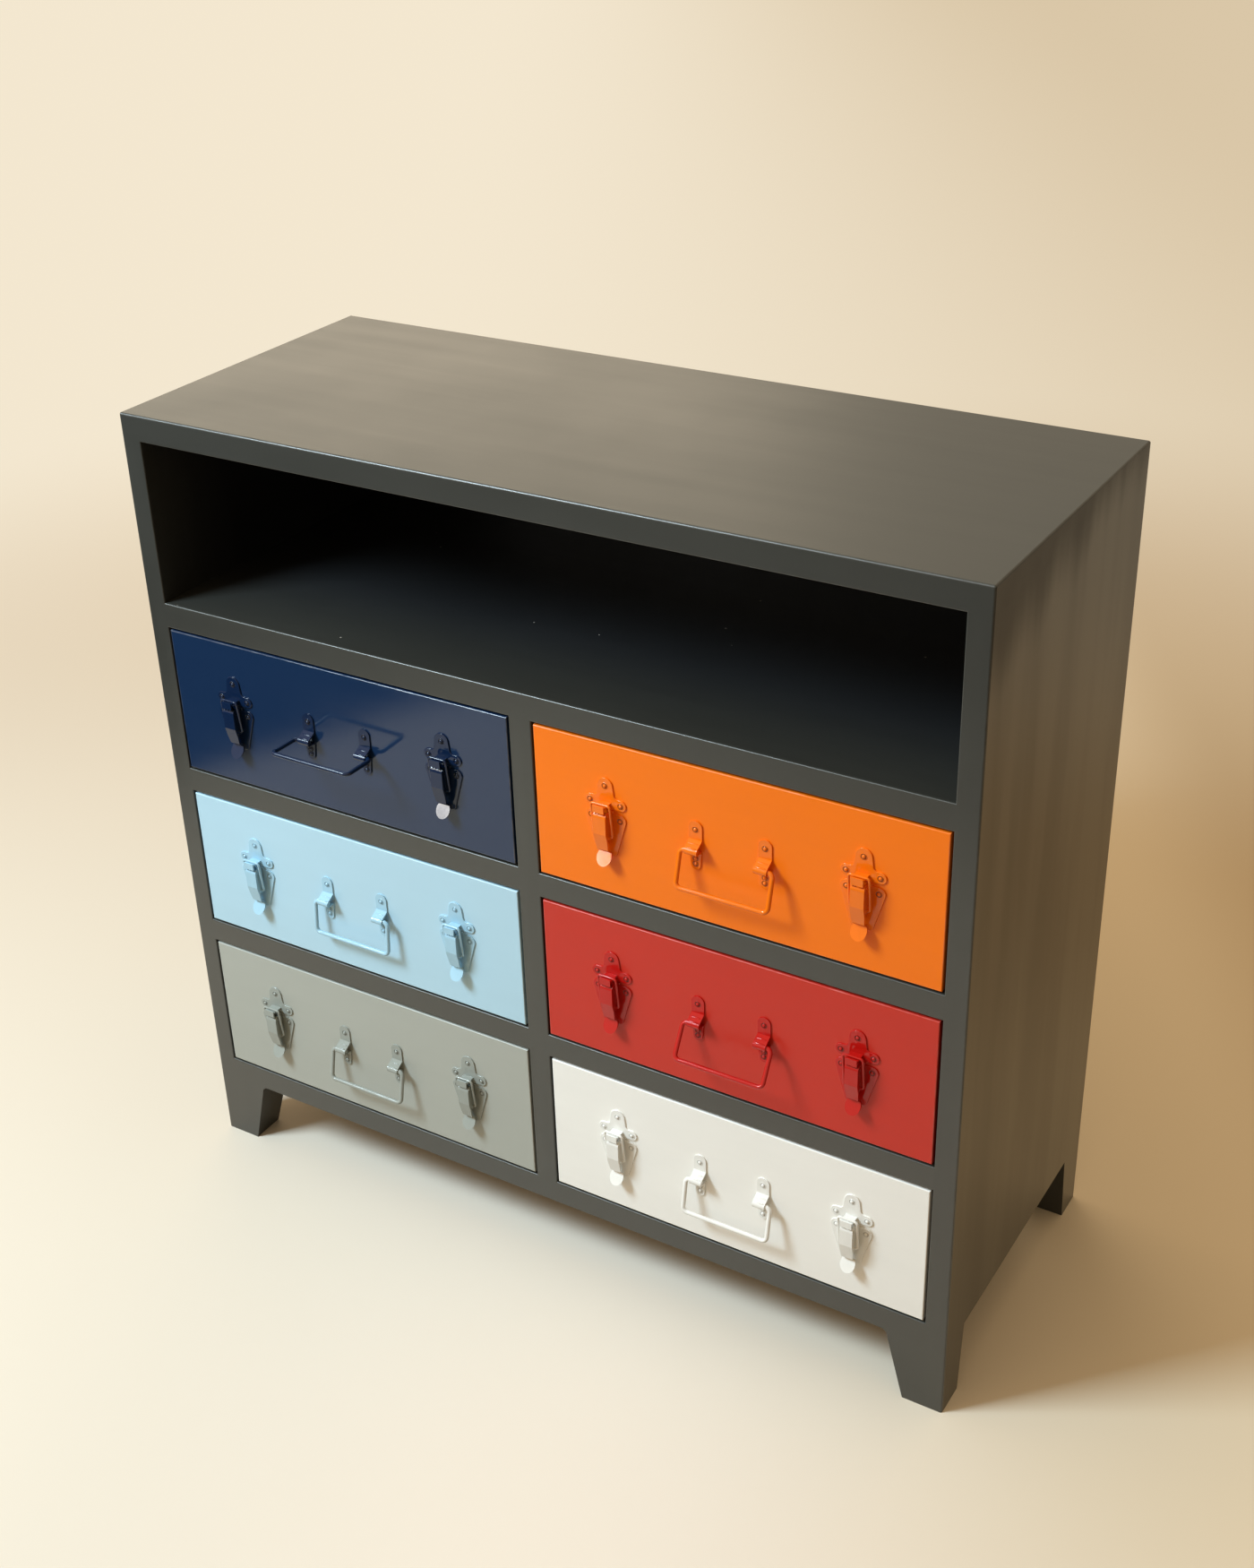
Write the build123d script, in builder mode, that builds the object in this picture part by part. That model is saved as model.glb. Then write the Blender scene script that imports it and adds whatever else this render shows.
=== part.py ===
from build123d import *
import os
from math import cos, hypot, radians, sin

os.makedirs("parts", exist_ok=True)

# Chest of six drawers under an open compartment. The X axis runs along the front, +Y to the back, +Z up.
# The origin is on the floor, under the middle of the whole chest with its handles.

# Carcass
carcass_width = 880.0
carcass_depth = 354.0
side_board = 22.0
divider_board = 24.0
board_height = 26.0
compartment_height = 166.0
opening_height = 159.0
drawer_rows = 3
foot_height = 78.0
back_thickness = 6.0
back_inset = 2.0
edge_radius = 2.0
opening_edge_radius = 1.2
rail_depth = 60.0
runner_width = 20.0

# Feet
foot_toe_width = 41.0
foot_top_width = 59.0
foot_toe_depth = 36.0
foot_top_depth = 44.0
foot_cove_radius = 8.0

# Drawers
front_gap = 2.4
front_thickness = 20.0
front_edge_radius = 1.0
box_side_gap = 2.0
box_board = 12.0
box_side_height = 124.0
box_back_gap = 6.0
box_bottom_thickness = 6.0
box_bottom_rise = 9.0
groove_depth = 5.0
glue_gap = 0.1

# Latch, with heights from the middle of the drawer front and reaches out from its face
latch_spread = 126.0
plate_thickness = 1.4
plate_edge_radius = 0.5
strike_rivet_height = 35.0
strike_lobe_radius = 8.0
strike_shoulder_radius = 1.5
strike_shoulder_spread = 8.5
strike_ear_height = 18.0
strike_ear_spread = 15.8
strike_ear_radius = 5.5
strike_neck_radius = 4.0
hook_width = 11.6
hook_apron_height = 13.4
hook_thickness = 1.4
hook_seat_gap = 0.3
hook_front_gap = 1.7
base_ear_height = 2.5
base_ear_spread = 15.0
base_ear_radius = 6.0
base_toe_height = -31.5
base_toe_spread = 6.5
base_toe_radius = 4.5
base_tongue_width = 16.0
base_tongue_height = 11.2
pivot_height = 7.5
pivot_reach = 7.5
pivot_pin_diameter = 3.0
pivot_ear_radius = 3.0
pivot_ear_thickness = 1.4
pivot_ear_gap = 0.4
pin_seat_gap = 0.02
running_gap = 0.05
lever_width = 13.0
lever_thickness = 1.5
lever_flange = 1.2
lever_knuckle_radius = 5.5
lever_knuckle_wrap = 35.0
lever_crease_height = -9.0
lever_narrow_height = -18.0
lever_bend_height = -27.0
lever_bend_reach = 8.6
lever_bend_width = 10.4
lever_step_height = -31.0
lever_step_reach = 4.4
lever_tab_height = -43.0
lever_tab_reach = 11.5
lever_tab_radius = 7.5
lever_pin_overhang = 0.6
link_wire = 2.4
link_bar_height = 20.5
link_bar_reach = 10.0
link_pivot_height = -13.5
link_pivot_reach = 6.2
link_boss_radius = 3.2
link_leg_spread = 9.6
link_end_spread = 4.2
link_corner_radius = 2.4

# Bail handle, with heights from the middle of the drawer front and reaches out from its face
bail_wire = 4.4
bail_leg_spread = 45.5
bail_end_spread = 28.4
bail_drop = 36.0
bail_corner_radius = 5.0
bail_pivot_height = -2.0
bail_pivot_reach = 8.5
lug_spread = 34.1
lug_strap = 1.4
lug_half_height = 24.5
lug_head_radius = 6.5
lug_tail_radius = 4.7
lug_ramp_top = 6.0
lug_ramp_low = 7.0
lug_ramp_top_inset = 1.6
lug_ramp_low_inset = 1.6
lug_wire_gap = 0.1

# One overrun serves every cut, and one band finds the corners at a height
overrun = 5.0
pick_band = 0.05

# Each drawer: column, row from the floor, and how far its bail is lifted from hanging, in degrees
drawers = {
    "navy": (-1, 2, 92.0),
    "light_blue": (-1, 1, 5.0),
    "grey": (-1, 0, 12.0),
    "orange": (1, 2, 16.0),
    "red": (1, 1, 30.0),
    "white": (1, 0, 12.0),
}

# Worked out from the sizes above
drawer_stack = drawer_rows * (opening_height + board_height)
carcass_height = foot_height + drawer_stack + compartment_height + 2 * board_height
inner_width = carcass_width - 2 * side_board
opening_width = (inner_width - divider_board) / 2
column_middle = (divider_board + opening_width) / 2
row_pitch = opening_height + board_height
floor_level = foot_height + board_height
shelf_level = floor_level + drawer_rows * row_pitch - board_height
bail_reach = max(bail_drop * sin(radians(lift)) for column, row, lift in drawers.values())
front_y = (bail_pivot_reach + bail_reach + bail_wire / 2 - carcass_depth) / 2
back_y = front_y + carcass_depth
middle_y = (front_y + back_y) / 2
inner_depth = carcass_depth - back_thickness - back_inset
inner_middle_y = front_y + inner_depth / 2
front_width = opening_width - 2 * front_gap
front_height = opening_height - 2 * front_gap
box_front_y = front_y + front_thickness
box_depth = inner_depth - front_thickness - box_back_gap
box_width = opening_width - 2 * box_side_gap

# The face of a drawer front, with x to the right, y up and z out towards the user, and a cut square to it,
# with x up, y out towards the user and z to the right. Both are at the middle of a drawer not yet in place.
face_plane = Plane(origin=(0, front_y, 0), x_dir=(1, 0, 0), z_dir=(0, -1, 0))
side_plane = Plane(origin=(0, front_y, 0), x_dir=(0, 0, 1), z_dir=(1, 0, 0))


def save(part, name):
    part.label = name
    export_step(part, f"parts/{name}.step")


def save_at(pieces, name):
    """Write one node from pieces made at the middle of a drawer, each with the places where it goes."""
    with BuildPart() as node:
        for piece, places in pieces:
            with Locations(*places):
                add(piece)
    save(node.part, name)


# Shell that the carcass boards are parted from, so that their fronts are flush and the soft edges run on
with BuildPart() as shell:
    with BuildSketch(Plane.XY.offset(foot_height)):
        with Locations((0, middle_y)):
            Rectangle(carcass_width, carcass_depth)
    extrude(amount=carcass_height - foot_height)
    rim = shell.faces().sort_by(Axis.Z)[-1].edges()
    fillet(shell.edges().filter_by(Axis.Z) + rim, radius=edge_radius)
    with BuildSketch(face_plane):
        with Locations((0, carcass_height - board_height - compartment_height / 2)):
            Rectangle(inner_width, compartment_height)
        for column in (-1, 1):
            for row in range(drawer_rows):
                with Locations((column * column_middle, floor_level + row * row_pitch + opening_height / 2)):
                    Rectangle(opening_width, opening_height)
    extrude(amount=-inner_depth, mode=Mode.SUBTRACT)
    mouths = shell.faces().sort_by(Axis.Y)[0].inner_wires()
    fillet(mouths.edges(), radius=opening_edge_radius)

# Carcass boards
with BuildPart() as top_panel:
    with BuildSketch(Plane.XY.offset(carcass_height - board_height)):
        with Locations((0, middle_y)):
            Rectangle(carcass_width, carcass_depth)
    extrude(amount=board_height)
    add(shell.part, mode=Mode.INTERSECT)
save(top_panel.part, "top_panel")


def side_panel(side):
    with BuildPart() as panel:
        with BuildSketch(Plane.XY.offset(foot_height)):
            with Locations((side * (carcass_width - side_board) / 2, middle_y)):
                Rectangle(side_board, carcass_depth)
        extrude(amount=carcass_height - board_height - foot_height)
        add(shell.part, mode=Mode.INTERSECT)
    return panel.part


save(side_panel(-1), "left_side")
save(side_panel(1), "right_side")

with BuildPart() as compartment_shelf:
    with BuildSketch(Plane.XY.offset(shelf_level)):
        with Locations((0, inner_middle_y)):
            Rectangle(inner_width, inner_depth)
    extrude(amount=board_height)
    add(shell.part, mode=Mode.INTERSECT)
save(compartment_shelf.part, "compartment_shelf")

with BuildPart() as bottom_panel:
    with BuildSketch(Plane.XY.offset(foot_height)):
        with Locations((0, inner_middle_y)):
            Rectangle(inner_width, inner_depth)
    extrude(amount=board_height)
    add(shell.part, mode=Mode.INTERSECT)
save(bottom_panel.part, "bottom_panel")

with BuildPart() as centre_divider:
    with BuildSketch(Plane.XY.offset(floor_level)):
        with Locations((0, inner_middle_y)):
            Rectangle(divider_board, inner_depth)
    extrude(amount=shelf_level - floor_level)
    add(shell.part, mode=Mode.INTERSECT)
save(centre_divider.part, "centre_divider")

with BuildPart() as back_panel:
    with BuildSketch(Plane.XY.offset(foot_height)):
        with Locations((0, front_y + inner_depth + back_thickness / 2)):
            Rectangle(inner_width, back_thickness)
    extrude(amount=carcass_height - board_height - foot_height)
    add(shell.part, mode=Mode.INTERSECT)
save(back_panel.part, "back_panel")

# Rails across the front between the rows, and runners behind them along the walls
rail_middle_y = front_y + rail_depth / 2
with BuildPart() as drawer_rails:
    for row in range(1, drawer_rows):
        with BuildSketch(Plane.XY.offset(floor_level + row * row_pitch - board_height)):
            with Locations((-column_middle, rail_middle_y), (column_middle, rail_middle_y)):
                Rectangle(opening_width, rail_depth)
        extrude(amount=board_height)
    add(shell.part, mode=Mode.INTERSECT)
save(drawer_rails.part, "drawer_rails")

runner_length = inner_depth - rail_depth
runner_middle_y = front_y + rail_depth + runner_length / 2
runner_offset = (opening_width - runner_width) / 2
with BuildPart() as drawer_runners:
    for row in range(1, drawer_rows):
        with BuildSketch(Plane.XY.offset(floor_level + row * row_pitch - board_height)):
            for column in (-1, 1):
                for wall in (-1, 1):
                    with Locations((column * column_middle + wall * runner_offset, runner_middle_y)):
                        Rectangle(runner_width, runner_length)
        extrude(amount=board_height)
    add(shell.part, mode=Mode.INTERSECT)
save(drawer_runners.part, "drawer_runners")


# Feet: flush with the carcass outside, tapered inside, with a cove under the rail
def foot(side, end):
    corner_x = side * carcass_width / 2
    corner_y = front_y if end < 0 else back_y
    front_view = Plane(
        origin=(corner_x, corner_y - end * foot_top_depth / 2, 0), x_dir=(-side, 0, 0), z_dir=(0, side, 0)
    )
    side_view = Plane(origin=(corner_x, corner_y, 0), x_dir=(0, -end, 0), z_dir=(-end, 0, 0))
    root_width = foot_top_width + foot_cove_radius
    rise = foot_height - foot_cove_radius
    with BuildPart() as block:
        with BuildSketch(front_view):
            with BuildLine():
                inner = Line((foot_toe_width, 0), (foot_top_width, rise))
                cove = RadiusArc(inner @ 1, (root_width, foot_height), foot_cove_radius)
                Polyline(cove @ 1, (0, foot_height), (0, 0), inner @ 0)
            make_face()
        extrude(amount=foot_top_depth / 2, both=True)
        with BuildSketch(side_view):
            with BuildLine():
                Polyline(
                    (0, 0),
                    (foot_toe_depth, 0),
                    (foot_top_depth, foot_height),
                    (0, foot_height),
                    close=True,
                )
            make_face()
        extrude(amount=root_width + overrun, both=True, mode=Mode.INTERSECT)
        outer_face = block.faces().sort_by(Axis.X)[-1 if side > 0 else 0]
        corner = outer_face.edges().filter_by(Axis.Z)
        fillet(corner, radius=edge_radius)
    return block.part


corner_feet = [foot(side, end) for side in (-1, 1) for end in (-1, 1)]
with BuildPart() as feet:
    for piece in corner_feet:
        add(piece)
save(feet.part, "feet")


# Drawer, made at the middle of its front
with BuildPart() as drawer_front:
    with BuildSketch(face_plane):
        Rectangle(front_width, front_height)
    extrude(amount=-front_thickness)
    fillet(drawer_front.faces().sort_by(Axis.Y)[0].edges(), radius=front_edge_radius)

box_low = -opening_height / 2
bottom_low = box_low + box_bottom_rise
bottom_length = box_depth - box_board - 2 * glue_gap


def box_side(wall):
    """A drawer side that stands on the runner, grooved for the bottom."""
    outer = wall * box_width / 2
    with BuildPart() as board:
        with BuildSketch(Plane.XY.offset(box_low)):
            with Locations((outer - wall * box_board / 2, box_front_y + box_depth / 2)):
                Rectangle(box_board, box_depth)
        extrude(amount=box_side_height)
        with BuildSketch(Plane.XY.offset(bottom_low)):
            with Locations((outer - wall * box_board, box_front_y + (box_depth - box_board) / 2)):
                Rectangle(2 * groove_depth, box_depth - box_board)
        extrude(amount=box_bottom_thickness, mode=Mode.SUBTRACT)
    return board.part


box_left = box_side(-1)
box_right = box_side(1)

with BuildPart() as box_back:
    with BuildSketch(Plane.XY.offset(bottom_low)):
        with Locations((0, box_front_y + box_depth - box_board / 2)):
            Rectangle(box_width - 2 * box_board - 2 * glue_gap, box_board)
    extrude(amount=box_side_height - box_bottom_rise)

with BuildPart() as box_bottom:
    with BuildSketch(Plane.XY.offset(bottom_low + glue_gap)):
        with Locations((0, box_front_y + glue_gap + bottom_length / 2)):
            Rectangle(box_width - 2 * box_board + 2 * groove_depth - 2 * glue_gap, bottom_length)
    extrude(amount=box_bottom_thickness - 2 * glue_gap)

# Strike plate of a latch: a lobe, two ears, and a hook with an apron for the link's bar
hook_seat = link_bar_height - link_wire / 2 - hook_seat_gap
hook_lip = link_bar_reach + link_wire / 2 + hook_front_gap
ear_top = strike_ear_height + strike_ear_radius
neck_limit = strike_ear_spread - pick_band
with BuildPart() as strike_plate:
    with BuildSketch(face_plane) as strike_outline:
        with Locations((0, strike_rivet_height)):
            Circle(strike_lobe_radius)
        for shoulder in (-strike_shoulder_spread, strike_shoulder_spread):
            with Locations((shoulder, strike_ear_height)):
                Circle(strike_shoulder_radius)
        make_hull()
        with Locations((0, strike_ear_height)):
            SlotCenterToCenter(2 * strike_ear_spread, 2 * strike_ear_radius)
        corners = strike_outline.vertices()
        corners = corners.filter_by_position(Axis.Y, ear_top - pick_band, ear_top + pick_band)
        necks = corners.filter_by_position(Axis.X, -neck_limit, neck_limit)
        fillet(necks, radius=strike_neck_radius)
    extrude(amount=plate_thickness)
    fillet(strike_plate.faces().sort_by(Axis.Y)[0].edges(), radius=plate_edge_radius)
    with BuildSketch(side_plane):
        with BuildLine():
            Polyline(
                (hook_seat, 0),
                (hook_seat, hook_lip),
                (link_bar_height, hook_lip),
                (link_bar_height, hook_lip + hook_thickness),
                (hook_apron_height, hook_lip + hook_thickness),
                (hook_apron_height, hook_lip),
                (hook_seat - hook_thickness, hook_lip),
                (hook_seat - hook_thickness, 0),
                close=True,
            )
        make_face()
    extrude(amount=hook_width / 2, both=True)

# Base plate of a latch: a shield with two pivot ears turned up from its tongue
pivot_ear_outer = lever_width / 2 - lever_flange - pivot_ear_gap
with BuildPart() as base_plate:
    with BuildSketch(face_plane):
        with Locations((-base_ear_spread, base_ear_height), (base_ear_spread, base_ear_height)):
            Circle(base_ear_radius)
        with Locations((-base_toe_spread, base_toe_height), (base_toe_spread, base_toe_height)):
            Circle(base_toe_radius)
        make_hull()
        with Locations((0, base_ear_height)):
            tongue_rise = base_tongue_height - base_ear_height
            Rectangle(base_tongue_width, tongue_rise, align=(Align.CENTER, Align.MIN))
    extrude(amount=plate_thickness)
    fillet(base_plate.faces().sort_by(Axis.Y)[0].edges(), radius=plate_edge_radius)
    for ear in (-pivot_ear_outer, pivot_ear_outer - pivot_ear_thickness):
        with BuildSketch(side_plane.offset(ear)):
            with Locations((pivot_height, pivot_reach)):
                Circle(pivot_ear_radius)
            with Locations((pivot_height, 0)):
                Rectangle(2 * pivot_ear_radius, pivot_reach, align=(Align.CENTER, Align.MIN))
            with Locations((pivot_height, pivot_reach)):
                Circle(pivot_pin_diameter / 2 + pin_seat_gap, mode=Mode.SUBTRACT)
        extrude(amount=pivot_ear_thickness)

with BuildPart() as pivot_pin:
    with BuildSketch(side_plane):
        with Locations((pivot_height, pivot_reach)):
            Circle(pivot_pin_diameter / 2)
    extrude(amount=lever_width / 2 + lever_pin_overhang, both=True)

# Lever of a latch: a strap with a rolled head and a thumb tab, and two flanges for the pin and the link
lever_face = pivot_reach + lever_knuckle_radius
tab_middle = lever_tab_height + lever_tab_radius
with BuildPart() as latch_lever:
    with BuildSketch(side_plane):
        with BuildLine():
            knuckle = CenterArc(
                (pivot_height, pivot_reach),
                lever_knuckle_radius,
                90 - lever_knuckle_wrap,
                lever_knuckle_wrap,
            )
            Polyline(
                knuckle @ 1,
                (lever_crease_height, lever_face),
                (lever_bend_height, lever_bend_reach),
                (lever_step_height, lever_step_reach),
                (lever_tab_height, lever_tab_reach),
            )
            offset(amount=lever_thickness, side=Side.LEFT)
        make_face()
    extrude(amount=lever_tab_radius, both=True)
    with BuildSketch(face_plane):
        with BuildLine():
            half = Polyline(
                (0, pivot_height + lever_knuckle_radius),
                (lever_width / 2, pivot_height + lever_knuckle_radius),
                (lever_width / 2, lever_narrow_height),
                (lever_bend_width / 2, lever_step_height),
                (lever_bend_width / 2, tab_middle),
                (0, tab_middle),
            )
            mirror(half, about=Plane.YZ)
        make_face()
        with Locations((0, tab_middle)):
            Circle(lever_tab_radius)
    extrude(amount=lever_face + overrun, mode=Mode.INTERSECT)
    for flange in (-lever_width / 2, lever_width / 2 - lever_flange):
        with BuildSketch(side_plane.offset(flange)):
            with Locations((pivot_height, pivot_reach)):
                Circle(lever_knuckle_radius - lever_thickness / 2)
            with Locations((lever_crease_height, lever_face - lever_thickness / 2)):
                Circle(lever_thickness / 4)
            with Locations((link_pivot_height, link_pivot_reach)):
                Circle(link_boss_radius)
            make_hull()
            with Locations((pivot_height, pivot_reach)):
                Circle(pivot_pin_diameter / 2 + running_gap, mode=Mode.SUBTRACT)
            with Locations((link_pivot_height, link_pivot_reach)):
                Circle(link_wire / 2 + running_gap, mode=Mode.SUBTRACT)
        extrude(amount=lever_flange)

# Link of a latch: a wire loop whose bar lies in the hook and whose ends turn in the lever's flanges
link_rise = link_bar_height - link_pivot_height
link_lean = link_bar_reach - link_pivot_reach
link_length = hypot(link_rise, link_lean)
link_plane = Plane(
    origin=(0, front_y - link_pivot_reach, link_pivot_height),
    x_dir=(1, 0, 0),
    z_dir=(0, -link_rise, -link_lean),
)
with BuildPart() as latch_link:
    with BuildLine(link_plane) as loop:
        FilletPolyline(
            (-link_end_spread, 0),
            (-link_leg_spread, 0),
            (-link_leg_spread, link_length),
            (link_leg_spread, link_length),
            (link_leg_spread, 0),
            (link_end_spread, 0),
            radius=link_corner_radius,
        )
    with BuildSketch(Plane(origin=loop.line @ 0, z_dir=loop.line % 0)):
        Circle(link_wire / 2)
    sweep()

# Lug of a bail: a strap riveted to the front, bulged out round the bail's end
lug_inner_radius = bail_wire / 2 + lug_wire_gap
lug_outer_radius = lug_inner_radius + lug_strap
with BuildPart() as handle_lug:
    with BuildSketch(side_plane):
        with Locations((bail_pivot_height, bail_pivot_reach)):
            Circle(lug_outer_radius)
        with Locations((-lug_ramp_low, 0)):
            Rectangle(lug_ramp_low + lug_ramp_top, lug_strap, align=(Align.MIN, Align.MIN))
        make_hull()
    extrude(amount=lug_head_radius, both=True)
    with BuildSketch(side_plane):
        with Locations((bail_pivot_height, bail_pivot_reach)):
            Circle(lug_inner_radius)
        with Locations((lug_ramp_low_inset - lug_ramp_low, 0)):
            Rectangle(
                lug_ramp_low + lug_ramp_top - lug_ramp_low_inset - lug_ramp_top_inset,
                overrun,
                align=(Align.MIN, Align.MAX),
            )
        make_hull()
    extrude(amount=lug_head_radius, both=True, mode=Mode.SUBTRACT)
    with BuildSketch(side_plane):
        with Locations((lug_ramp_top, 0)):
            Rectangle(lug_half_height - lug_ramp_top, lug_strap, align=(Align.MIN, Align.MIN))
        with Locations((-lug_ramp_low, 0)):
            Rectangle(lug_half_height - lug_ramp_low, lug_strap, align=(Align.MAX, Align.MIN))
    extrude(amount=lug_head_radius, both=True)
    with BuildSketch(face_plane):
        with Locations((0, lug_half_height - lug_head_radius), (0, 0)):
            Circle(lug_head_radius)
        with Locations((0, lug_tail_radius - lug_half_height)):
            Circle(lug_tail_radius)
        make_hull()
    extrude(amount=bail_pivot_reach + lug_outer_radius + overrun, mode=Mode.INTERSECT)


def bail(lift):
    """A wire handle, lifted from hanging by an angle in degrees."""
    swing_plane = Plane(
        origin=(0, front_y - bail_pivot_reach, bail_pivot_height),
        x_dir=(1, 0, 0),
        z_dir=(0, cos(radians(lift)), -sin(radians(lift))),
    )
    with BuildPart() as handle:
        with BuildLine(swing_plane) as wire:
            FilletPolyline(
                (-bail_end_spread, 0),
                (-bail_leg_spread, 0),
                (-bail_leg_spread, bail_drop),
                (bail_leg_spread, bail_drop),
                (bail_leg_spread, 0),
                (bail_end_spread, 0),
                radius=bail_corner_radius,
            )
        with BuildSketch(Plane(origin=wire.line @ 0, z_dir=wire.line % 0)):
            Circle(bail_wire / 2)
        sweep()
    return handle.part


# Each drawer with its fittings, in its place
for colour, (column, row, lift) in drawers.items():
    x = column * column_middle
    z = floor_level + row * row_pitch + opening_height / 2
    middle = [(x, 0, z)]
    left = [(x - latch_spread, 0, z)]
    right = [(x + latch_spread, 0, z)]
    lugs = [(x - lug_spread, 0, z), (x + lug_spread, 0, z)]
    save_at([(drawer_front.part, middle)], f"{colour}_front")
    box_boards = (box_left, box_right, box_back.part, box_bottom.part)
    save_at([(board, middle) for board in box_boards], f"{colour}_box")
    latch_plates = (strike_plate.part, base_plate.part, pivot_pin.part)
    fixed = [(plate, left + right) for plate in latch_plates] + [(handle_lug.part, lugs)]
    save_at(fixed, f"{colour}_fittings")
    save_at([(bail(lift), middle)], f"{colour}_bail")
    for hand, place in (("left", left), ("right", right)):
        save_at([(latch_lever.part, place)], f"{colour}_{hand}_lever")
        save_at([(latch_link.part, place)], f"{colour}_{hand}_link")
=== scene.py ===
from math import cos, pi, radians, sin

import bmesh
import bpy
from bpy.props import FloatProperty, FloatVectorProperty, IntProperty, PointerProperty
from mathutils import Matrix, Vector


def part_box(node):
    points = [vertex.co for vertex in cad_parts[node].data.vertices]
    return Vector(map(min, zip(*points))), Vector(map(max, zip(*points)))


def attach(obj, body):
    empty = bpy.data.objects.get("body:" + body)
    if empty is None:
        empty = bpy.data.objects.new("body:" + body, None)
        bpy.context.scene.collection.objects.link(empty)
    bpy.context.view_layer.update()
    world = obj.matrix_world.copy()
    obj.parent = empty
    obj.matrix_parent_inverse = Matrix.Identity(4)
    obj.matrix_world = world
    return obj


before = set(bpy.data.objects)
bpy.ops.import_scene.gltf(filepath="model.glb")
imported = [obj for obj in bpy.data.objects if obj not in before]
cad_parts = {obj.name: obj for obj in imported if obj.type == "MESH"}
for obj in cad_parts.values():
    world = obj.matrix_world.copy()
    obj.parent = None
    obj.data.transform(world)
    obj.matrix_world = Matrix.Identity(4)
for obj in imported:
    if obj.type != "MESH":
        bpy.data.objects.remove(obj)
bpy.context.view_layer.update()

bl_info = {
    "name": "Chest of painted drawers",
    "version": (1, 0, 0),
    "blender": (4, 5, 0),
    "location": "View3D > Sidebar > Chest",
    "description": "Finishes, rivets, nails and studio stage of a chest of six drawers with draw latches",
    "category": "Object",
}

MM = 0.001
DRAWERS = ("navy", "light_blue", "grey", "orange", "red", "white")
LEVEL_BOARDS = ("top_panel", "bottom_panel", "drawer_rails")
UPRIGHT_BOARDS = ("left_side", "right_side", "centre_divider", "back_panel", "feet", "drawer_runners")
SHELF = "compartment_shelf"
HARDWARE = ("fittings", "bail", "left_lever", "right_lever", "left_link", "right_link")

# Places of the rivets on a drawer front, from its middle, in millimetres
LATCH_SPREAD = 126.0
LATCH_RIVETS = ((0.0, 35.0), (-15.8, 18.0), (15.8, 18.0), (-15.0, 2.5), (15.0, 2.5))
LUG_SPREAD = 34.1
LUG_RIVETS = ((0.0, 16.0), (0.0, -13.2), (0.0, -18.6))
# Ribs pressed across the roof of a lug: reach from the drawer front and height over its middle, in millimetres
LUG_RIBS = ((5.35, 3.25), (9.85, 0.98))
RIB_RADIUS = 0.95
RIB_HALF_LENGTH = 5.4
RIB_SIDES = 12
PLATE_THICKNESS = 1.4
# How far the closed underside of a rivet or nail lies below the face that it stands on
HEAD_SINK = 0.3 * MM

# The photograph's frame and the camera that was fitted to it
PHOTO_WIDTH = 1400
FOCAL_PIXELS = 2255.3
SENSOR_WIDTH = 36.0
CAMERA_PLACE = (0.9323, -1.4660, 1.4619)
CAMERA_AZIMUTH = radians(32.02)
CAMERA_ELEVATION = radians(29.23)
CAMERA_ROLL = radians(-1.85)


def colour_property(name, description, default):
    return FloatVectorProperty(
        name=name, description=description, default=default, size=3, min=0.0, max=1.0, subtype="COLOR"
    )


def share_property(name, description, default):
    return FloatProperty(
        name=name, description=description, default=default, min=0.0, max=1.0, subtype="FACTOR"
    )


def length_property(name, description, default):
    return FloatProperty(
        name=name, description=description, default=default, min=0.0, subtype="DISTANCE", unit="LENGTH"
    )


def level_property(name, description, default):
    return FloatProperty(name=name, description=description, default=default)


class ChestPaints(bpy.types.PropertyGroup):
    """Colours and gloss of the chest's finishes."""

    carcass: colour_property("Carcass", "Charcoal paint of the carcass", (0.040, 0.040, 0.034))
    # The compartment's near black paint, taken also as painted shade deep inside it.
    lining_and_shade: colour_property("Lining", "Near black paint deep in the open compartment", (0.014, 0.0145, 0.0155))
    # Worn edges: paint rubbed thin along the carcass's outer edges, lightened also as a painted highlight.
    worn: colour_property(
        "Worn edges", "Paint rubbed thin along the carcass's outer edges", (0.085, 0.082, 0.070)
    )
    navy: colour_property("Navy", "Paint of the navy drawer", (0.008, 0.024, 0.066))
    light_blue: colour_property("Light blue", "Paint of the light blue drawer", (0.430, 0.640, 0.760))
    grey: colour_property("Grey", "Paint of the grey drawer", (0.380, 0.395, 0.355))
    orange: colour_property("Orange", "Paint of the orange drawer", (0.900, 0.180, 0.005))
    red: colour_property("Red", "Paint of the red drawer", (0.530, 0.027, 0.015))
    white: colour_property("White", "Paint of the white drawer", (0.890, 0.880, 0.840))
    wood: colour_property("Drawer wood", "Pale wood of the drawer boxes", (0.560, 0.390, 0.220))
    wood_dark: colour_property(
        "Drawer wood grain", "Late wood lines of the drawer boxes", (0.340, 0.200, 0.095)
    )
    # Edge wear: how far the edges are rubbed and lightened as a painted highlight.
    wear: share_property("Edge wear", "How far the paint is rubbed along the edges", 0.35)


class ChestFasteners(bpy.types.PropertyGroup):
    """Sizes of the rivets and nails."""

    rivet_radius: length_property("Rivet radius", "Radius of a rivet's dome", 1.8 * MM)
    rivet_height: length_property("Rivet height", "Height of a rivet's dome over its plate", 1.4 * MM)
    rivet_rim: length_property("Rivet rim", "Outer radius of the pressed ring round a rivet", 3.3 * MM)
    rivet_sides: IntProperty(name="Rivet sides", description="Faces round a rivet", default=20, min=8)
    nail_radius: length_property("Nail radius", "Radius of a nail's head in the back panel", 3.0 * MM)
    nail_height: length_property("Nail height", "How far a nail's head stands out of the back panel", 0.7 * MM)
    nail_margin: length_property("Nail margin", "Distance of the nails from the back panel's edges", 10.0 * MM)
    nail_pitch: length_property("Nail pitch", "Distance between the nails of the back panel", 120.0 * MM)


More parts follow.
